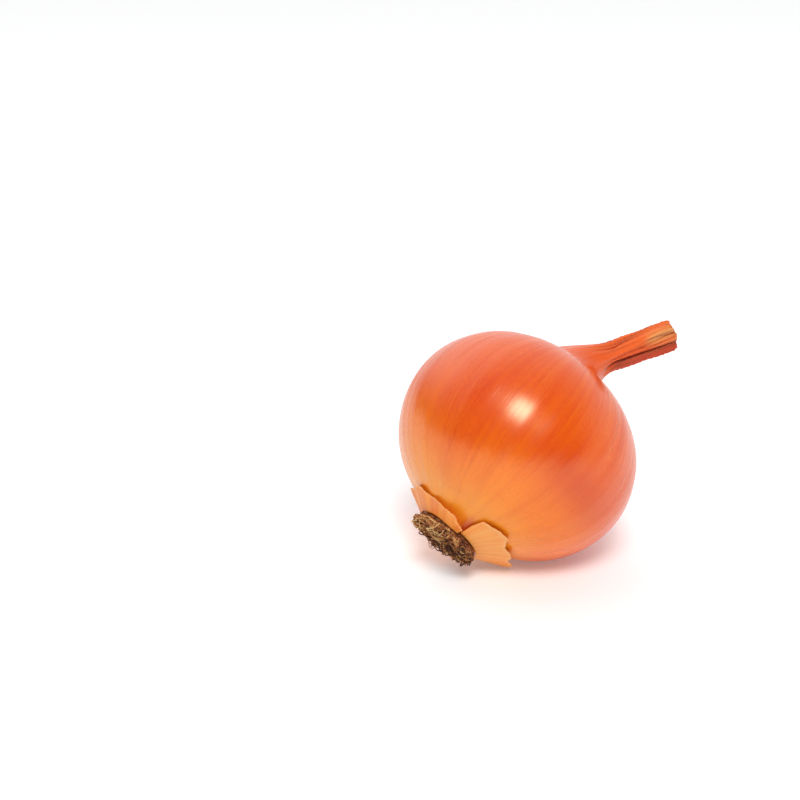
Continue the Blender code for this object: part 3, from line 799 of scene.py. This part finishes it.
def root_lines(draw):
    """(roots, points, 3) middle lines: each starts on the plate, set out by the golden angle, and
    wanders over its back with a steady curl and some wobble, arched off it by its own amount."""
    share = np.sqrt((np.arange(ROOTS) + 0.5) / ROOTS)
    outwards = np.stack([np.cos(ROOT_TURNS), np.sin(ROOT_TURNS)], axis=-1)
    at = (share * (PLATE_RADIUS + ROOTS_PAST_PLATE))[:, None] * outwards
    heading = ROOT_TURNS + draw.uniform(-ROOT_HEADINGS, ROOT_HEADINGS, ROOTS)
    curl = draw.uniform(-1.0, 1.0, ROOTS) * ROOT_CURL
    length = draw.uniform(*ROOT_LENGTHS, ROOTS) * (MIDDLE_LONGER - RIM_SHORTER * share)
    step = length / (ROOT_POINTS - 1)
    layer = draw.uniform(0.0, 1.0, ROOTS) * MAT_DEPTH
    arch = draw.uniform(0.0, 1.0, ROOTS) ** 3 * ROOT_ARCH
    lines = np.empty((ROOTS, ROOT_POINTS, 3))
    for point in range(ROOT_POINTS):
        out = np.linalg.norm(at, axis=-1)
        rim = MAT_RADIUS + waves(np.arctan2(at[:, 1], at[:, 0]), 0.0, MAT_WAVES, ROOT_SEED)
        at = at * np.minimum(1.0, rim / out)[:, None]
        past_rim = ease((out - PLATE_RADIUS + RIM_FADE) / RIM_FADE)
        rise = layer * min(1.0, point / 2) + arch * math.sin(math.pi * point / (ROOT_POINTS - 1))
        dome = PLATE_BACK - PLATE_DOME * (1 - (out / PLATE_RADIUS) ** 2)
        lines[:, point, :2] = at
        lines[:, point, 2] = dome - rise - BEHIND_SCALES * past_rim
        at = at + step[:, None] * np.stack([np.cos(heading), np.sin(heading)], axis=-1)
        heading = heading + curl + draw.normal(0.0, ROOT_WOBBLE, ROOTS)
    return lines


def tubes(lines, radii):
    """(points, faces) of a thin tube on each line: a few corners round every point of the line, joined to
    the next ones, and a cap on each end. The corners are set out square to the line and an odd way."""
    way = np.gradient(lines, axis=1)
    way /= np.linalg.norm(way, axis=-1, keepdims=True)
    side = np.cross(way, ODD_WAY)
    side /= np.linalg.norm(side, axis=-1, keepdims=True)
    top = np.cross(way, side)
    corner = np.arange(ROOT_SIDES) * 2 * math.pi / ROOT_SIDES
    round_it = side[:, :, None] * np.cos(corner)[:, None] + top[:, :, None] * np.sin(corner)[:, None]
    points = lines[:, :, None] + radii[..., None, None] * round_it
    number = np.arange(points.size // 3).reshape(points.shape[:3])
    beside = np.roll(number, -1, axis=2)
    walls = np.stack([number[:, :-1], beside[:, :-1], beside[:, 1:], number[:, 1:]], axis=-1).reshape(-1, 4)
    caps = np.concatenate([number[:, 0, ::-1], number[:, -1]])
    return points, walls.tolist() + caps.tolist()


def root_finish():
    """Dead root: every fibre has its own shade between soil brown and straw, with crumbs of soil on it."""
    material, tree, shader = new_finish("dead_root")
    place = tree.nodes.new("ShaderNodeTexCoord").outputs["Object"]
    shade = attribute(tree, "shade", "Fac")
    colour = ramp(tree, shade, ROOT_TINTS)
    crumbs = noise(tree, place, 1300.0, 3.0, 0.6)
    colour = blend(tree, fit(tree, crumbs, 0.54, 0.70, 0.0, 0.7), colour, SOIL)
    wire(tree, colour, shader.inputs["Base Color"])
    shader.inputs["Roughness"].default_value = 0.85
    return material


root_draw = np.random.default_rng(ROOT_SEED)
lines = laid_down(root_lines(root_draw), ROOT_CLEAR_OF_FLOOR)
widths = root_draw.uniform(*ROOT_WIDTHS, ROOTS)[:, None]
taper = np.linspace(1.0, ROOT_TAPER, ROOT_POINTS)[None]
root_points, root_faces = tubes(lines, widths / 2 * taper)
roots = add_piece("dry_roots", root_points, root_faces)
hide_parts("root_tuft")
shades = root_draw.beta(*SHADE_SPREAD, ROOTS) + STRAW_SHARE * np.cos(ROOT_TURNS - STRAW_AT)
keep_values(roots, "shade", np.repeat(shades, ROOT_POINTS * ROOT_SIDES))
roots.data.materials.append(root_finish())

# Two torn scraps are what is left of an older, outermost scale. Each is still grown to the rim of the
# root plate, dry as paper, and stands a little off the skin with a ragged edge.

SHEET_THICKNESS = 0.24 * MM
SOLID_THICKNESS = 0.6 * MM
SCALE_INNER_RADIUS = 9.6 * MM
LIFT_AT_PLATE = 0.6
SHEET_STEPS_OUT = 40
SHEET_STEPS_PER_DEGREE = 1.6
SHEET_RAGGED = ((7, 0.30 * MM, 0), (12, 0.22 * MM, 0), (31, 0.09 * MM, 0), (67, 0.06 * MM, 0))
SHEET_CRUMPLE = ((9, 0.16 * MM, 0.9), (17, 0.08 * MM, -1.4), (29, 0.04 * MM, 0.8))
SHEET_CLEAR_OF_FLOOR = 0.9 * MM
# An edge point is (azimuth in degrees, how far out the tear runs, how far it is lifted off the skin).
FRONT_EDGE = (
    (-119, 13.4 * MM, 0.2 * MM),
    (-116, 17.4 * MM, 0.4 * MM),
    (-106, 18.8 * MM, 0.4 * MM),
    (-90, 19.6 * MM, 0.4 * MM),
    (-74, 18.0 * MM, 0.5 * MM),
    (-60, 18.6 * MM, 0.7 * MM),
    (-45, 18.0 * MM, 1.2 * MM),
    (-32, 20.4 * MM, 1.7 * MM),
    (-24, 20.8 * MM, 1.9 * MM),
    (-17, 17.0 * MM, 1.8 * MM),
)
BACK_EDGE = (
    (14, 13.4 * MM, 0.3 * MM),
    (24, 15.8 * MM, 0.4 * MM),
    (38, 14.6 * MM, 0.3 * MM),
    (52, 17.0 * MM, 0.4 * MM),
    (68, 15.4 * MM, 0.3 * MM),
    (84, 17.2 * MM, 0.4 * MM),
    (100, 16.0 * MM, 0.4 * MM),
    (118, 17.0 * MM, 0.3 * MM),
    (136, 16.2 * MM, 0.2 * MM),
    (154, 15.8 * MM, 0.2 * MM),
    (174, 14.6 * MM, 0.2 * MM),
    (194, 13.8 * MM, 0.7 * MM),
    (210, 13.4 * MM, 1.5 * MM),
    (224, 13.0 * MM, 2.1 * MM),
    (236, 12.4 * MM, 1.9 * MM),
)
SKIN_LENGTH = 133 * MM
BLEACHED = (0.92, 0.52, 0.20)
PALE_TINT = (0.95, 0.42, 0.10)
PALE_VEIN = (0.90, 0.25, 0.03)
ORANGE_TINT = (0.96, 0.33, 0.045)
ORANGE_VEIN = (0.86, 0.14, 0.010)
SCALE_GRAIN = 0.05 * MM


def on_skin(radius, azimuth, lift):
    """Points on the root side's skin at a radius and azimuth, raised off it by lift, square to its slope."""
    lower = outline[outline[:, 1] < 0][::-1]
    height = np.interp(radius, lower[:, 0], lower[:, 1])
    step = 0.2 * MM
    rise = np.interp(radius + step, lower[:, 0], lower[:, 1]) - height
    length = np.hypot(step, rise)
    for count, share, start in LOBES:
        radius = radius * (1 + share * np.cos(count * azimuth + start))
    out = radius + lift * rise / length
    down = height - lift * step / length
    return np.stack(np.broadcast_arrays(out * np.cos(azimuth), out * np.sin(azimuth), down), axis=-1)


def torn_sheet(name, edge, seed):
    """A thin sheet laid over the skin from the plate's rim to a torn edge: the edge runs straight
    between its points with fine ragged waves, and the sheet crumples a little and lifts towards it."""
    degrees, reach, lift = np.array(edge).T
    steps_round = int((degrees[-1] - degrees[0]) * SHEET_STEPS_PER_DEGREE)
    share = np.linspace(0.0, 1.0, steps_round + 1)[:, None]
    outwards = np.linspace(0.0, 1.0, SHEET_STEPS_OUT + 1)[None]
    at_degrees = degrees[0] + share * (degrees[-1] - degrees[0])
    around = np.radians(at_degrees)
    tear = np.interp(at_degrees, degrees, reach) + waves(around, 0.0, SHEET_RAGGED, seed)
    raised = np.interp(at_degrees, degrees, lift)
    out = SCALE_INNER_RADIUS + outwards * (tear - SCALE_INNER_RADIUS)
    crumple = waves(around, out, SHEET_CRUMPLE, seed + 1) * outwards
    off = CLEARANCE + SOLID_THICKNESS / 2 + raised * (LIFT_AT_PLATE + (1 - LIFT_AT_PLATE) * ease(outwards))
    points = laid_down(on_skin(out, around, off + crumple), SHEET_CLEAR_OF_FLOOR)
    faces = grid_faces(steps_round + 1, SHEET_STEPS_OUT + 1)
    sheet = add_piece(name + "_sheet", points, faces)
    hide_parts(name)
    sheet_way = np.stack(np.broadcast_arrays(np.cos(around), np.sin(around), out / SKIN_LENGTH), axis=-1)
    keep_values(sheet, "way", sheet_way.reshape(-1, 3))
    keep_values(sheet, "rim", np.broadcast_to(outwards, out.shape).ravel())
    wall = sheet.modifiers.new("wall", "SOLIDIFY")
    wall.thickness = SHEET_THICKNESS
    wall.offset = 0.0
    return sheet


def scale_finish(name, tint, vein):
    """Dry outer scale: a pale tint with darker lengthwise veins, and bleached towards its torn edge."""
    material, tree, shader = new_finish(name)
    way = attribute(tree, "way", "Vector")
    streaks, threads = fibres(tree, way, 9.0, 0.5, 0.03)
    fine, _ = fibres(tree, way, 30.0, 0.3)
    rim = attribute(tree, "rim", "Fac")
    patterns = {"streaks": streaks, "fine": fine, "threads": threads, "rim": rim}
    layers = (
        ("streaks", 0.42, 0.70, 0.70, vein),
        ("fine", 0.45, 0.75, 0.40, vein),
        ("threads", 0.0, 1.0, 0.35, vein),
        ("rim", 0.86, 1.0, 0.55, BLEACHED),
    )
    colour = layered(tree, tint, patterns, layers)
    wire(tree, colour, shader.inputs["Base Color"])
    shader.inputs["Roughness"].default_value = 0.48
    bump = add_node(tree, "ShaderNodeBump", {"Strength": 1.0, "Distance": SCALE_GRAIN, "Height": streaks})
    wire(tree, bump.outputs["Normal"], shader.inputs["Normal"])
    return material


front_sheet = torn_sheet("torn_scale_front", FRONT_EDGE, 31)
front_sheet.data.materials.append(scale_finish("pale_scale", PALE_TINT, PALE_VEIN))
back_sheet = torn_sheet("torn_scale_back", BACK_EDGE, 41)
back_sheet.data.materials.append(scale_finish("orange_scale", ORANGE_TINT, ORANGE_VEIN))

# The onion lies on a plain white light table: a broad lamp with a brighter middle high behind the
# viewer, a bright ceiling and backdrop, a faint glow from the table, and a dim room on the viewer's
# side and to the left.

FLOOR_SIDE = 8.0
FLOOR_DROP = 0.05 * MM
FLOOR_COLOUR = (0.95, 0.955, 0.96)
VIEW_AZIMUTH = math.radians(-44.24)
VIEW_ELEVATION = math.radians(22)
VIEW_DISTANCE = 622 * MM
LENS = 92.25
SENSOR = 36.0
PHOTO_SIDE = 800
BULB_AT = (515.8, 446.9)
LAMP_AZIMUTH = math.radians(-38.6)
LAMP_ELEVATION = math.radians(52)
LAMP_DISTANCE = 3.0
# A lamp is (width, share of full white), and a level is a share of full white. Edges are where a level
# starts and ends, as the cosine from the viewer's side or the left, or as the sine of the elevation.
# CEILING_SLOPE multiplies the ceiling's level, which is brighter on the left.
LAMPS = ((1.50, 0.48), (0.90, 0.24))
CEILING_LEVELS = (1.05, 0.14)
CEILING_EDGES = (-0.5, 0.3)
CEILING_SLOPE = (0.62, 1.55)
SLOPE_EDGES = (-0.6, 0.6)
CEILING_RISE = (0.10, 0.60)
BACKDROP_LEVEL = 1.05
ROOM_LEVEL = 0.06
ROOM_EDGES = (-0.2, 0.5)
LEFT_LEVEL = 0.06
LEFT_EDGES = (0.45, 0.85)
FLOOR_GLOW = 0.16


def direction(azimuth, elevation):
    """The way from the onion to something at an azimuth from -Y towards +X and an elevation."""
    flat = math.cos(elevation)
    return Vector((math.sin(azimuth) * flat, -math.cos(azimuth) * flat, math.sin(elevation)))


def facing(forward):
    """A rotation that points a camera or a lamp along forward, with its top upwards."""
    right = forward.cross(Vector((0, 0, 1))).normalized()
    return Matrix((right, right.cross(forward), -forward)).transposed()


def aimed(eye, subject, right_share, up_share):
    """The way a camera at eye looks so that the subject stands off the picture's middle by these
    shares of its distance."""
    forward = (subject - eye).normalized()
    for _ in range(10):
        right = forward.cross(Vector((0, 0, 1))).normalized()
        depth = (subject - eye).dot(forward)
        off_middle = right * right_share + right.cross(forward) * up_share
        forward = ((subject - eye) / depth - off_middle).normalized()
    return forward


def add_camera():
    """A camera at the photo's angle, which shows the bulb's middle where the photo has it."""
    lens_pixels = LENS / SENSOR * PHOTO_SIDE
    eye = BULB_MIDDLE + direction(VIEW_AZIMUTH, VIEW_ELEVATION) * VIEW_DISTANCE
    right_share = (BULB_AT[0] - PHOTO_SIDE / 2) / lens_pixels
    up_share = (PHOTO_SIDE / 2 - BULB_AT[1]) / lens_pixels
    camera = bpy.data.objects.new("camera", bpy.data.cameras.new("camera"))
    camera.data.lens = LENS
    camera.data.sensor_width = SENSOR
    camera.data.clip_start = 0.01
    camera.location = eye
    camera.rotation_euler = facing(aimed(eye, BULB_MIDDLE, right_share, up_share)).to_euler()
    bpy.context.scene.collection.objects.link(camera)
    bpy.context.scene.camera = camera


def add_lamp(size, share):
    """A round lamp whose power gives this share of full white on a white surface that faces it."""
    way = direction(LAMP_AZIMUTH, LAMP_ELEVATION)
    lamp = bpy.data.objects.new("lamp", bpy.data.lights.new("lamp", "AREA"))
    lamp.data.shape = "DISK"
    lamp.data.size = size
    lamp.data.energy = share * (math.pi * LAMP_DISTANCE) ** 2
    lamp.location = BULB_MIDDLE + way * LAMP_DISTANCE
    lamp.rotation_euler = facing(-way).to_euler()
    bpy.context.scene.collection.objects.link(lamp)


def add_surroundings():
    """The light from every way: dim at the viewer's side and at the left, bright behind and above."""
    world = bpy.data.worlds.new("studio")
    world.use_nodes = True
    bpy.context.scene.world = world
    tree = world.node_tree
    way = tree.nodes.new("ShaderNodeTexCoord").outputs["Generated"]
    up = add_node(tree, "ShaderNodeSeparateXYZ", {0: way}).outputs["Z"]
    to_viewer = tuple(direction(VIEW_AZIMUTH, 0.0))
    to_left = tuple(direction(VIEW_AZIMUTH - math.pi / 2, 0.0))
    dots = []
    for side in (to_viewer, to_left):
        dot = add_node(tree, "ShaderNodeVectorMath", {0: way, 1: side}, operation="DOT_PRODUCT")
        dots.append(dot.outputs["Value"])
    viewer_side, left_side = dots
    level = fit(tree, viewer_side, *ROOM_EDGES, BACKDROP_LEVEL, ROOM_LEVEL)
    level = blend(tree, fit(tree, left_side, *LEFT_EDGES), level, (LEFT_LEVEL,) * 3)
    ceiling = fit(tree, viewer_side, *CEILING_EDGES, *CEILING_LEVELS)
    ceiling = calc(tree, "MULTIPLY", ceiling, fit(tree, left_side, *SLOPE_EDGES, *CEILING_SLOPE))
    level = blend(tree, fit(tree, up, *CEILING_RISE), level, ceiling)
    wire(tree, level, tree.nodes["Background"].inputs["Color"])


def add_floor():
    """A matt white square just under the onion, which glows faintly."""
    half = FLOOR_SIDE / 2
    corners = [(x * half, y * half, -FLOOR_DROP) for x, y in ((-1, -1), (1, -1), (1, 1), (-1, 1))]
    mesh = bpy.data.meshes.new("floor")
    mesh.from_pydata(corners, [], [(0, 1, 2, 3)])
    floor = bpy.data.objects.new("floor", mesh)
    bpy.context.scene.collection.objects.link(floor)
    material, _, shader = new_finish("white_sheet")
    shader.inputs["Base Color"].default_value = (*FLOOR_COLOUR, 1.0)
    shader.inputs["Roughness"].default_value = 0.9
    shader.inputs["Specular IOR Level"].default_value = 0.2
    shader.inputs["Emission Color"].default_value = (1.0, 1.0, 1.0, 1.0)
    shader.inputs["Emission Strength"].default_value = FLOOR_GLOW
    mesh.materials.append(material)


add_camera()
for lamp_size, lamp_share in LAMPS:
    add_lamp(lamp_size, lamp_share)
add_surroundings()
add_floor()
bpy.context.scene.view_settings.view_transform = "Standard"
